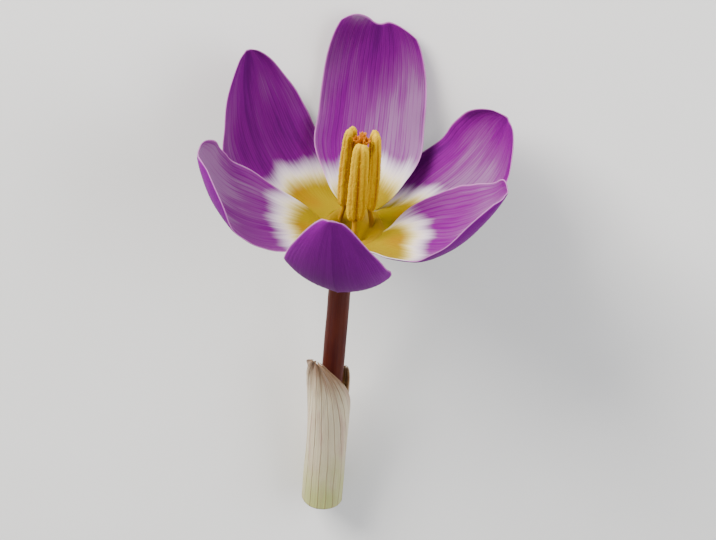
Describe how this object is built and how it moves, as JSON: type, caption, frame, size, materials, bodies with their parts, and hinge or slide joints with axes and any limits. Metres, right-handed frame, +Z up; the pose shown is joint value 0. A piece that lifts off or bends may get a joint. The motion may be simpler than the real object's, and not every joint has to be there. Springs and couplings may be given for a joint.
{
  "type": "crocus flower",
  "caption": "Open crocus flower as picked, lying on its side: cupped tepals in two whorls, stamens, a frilled stigma, and a slender tube with papery sheaths.",
  "frame": {"origin": "on the surface that the flower lies on, under the middle of its bounding box", "axes": "+Y from the cut end of the tube towards the bloom, +Z up from the surface, +X to the right when looking along +Y"},
  "size_m": [0.0512, 0.09, 0.0467],
  "materials": {
    "tepal_outer": "fresh petal: satin purple with fine lengthwise veins, paler sheen on the inner face, yellow foot and white band inside",
    "tepal_inner": "fresh petal: satin purple with fine lengthwise veins, paler sheen on the inner face, yellow foot and white band inside",
    "tube": "smooth bronze-brown tube with faint stripes, golden inside the throat",
    "sheath": "papery translucent membrane with fine veins",
    "stamen": "powdery golden pollen on a smooth pale filament",
    "style": "waxy orange, frilled at the ends"
  },
  "bodies": {
    "root": {"tepal_outer_1": "tepal_outer", "tepal_outer_2": "tepal_outer", "tepal_outer_3": "tepal_outer", "tepal_inner_1": "tepal_inner", "tepal_inner_2": "tepal_inner", "tepal_inner_3": "tepal_inner", "perianth_tube": "tube", "bract": "sheath", "bracteole": "sheath", "stamen_1": "stamen", "stamen_2": "stamen", "stamen_3": "stamen", "style": "style"}
  },
  "joints": []
}
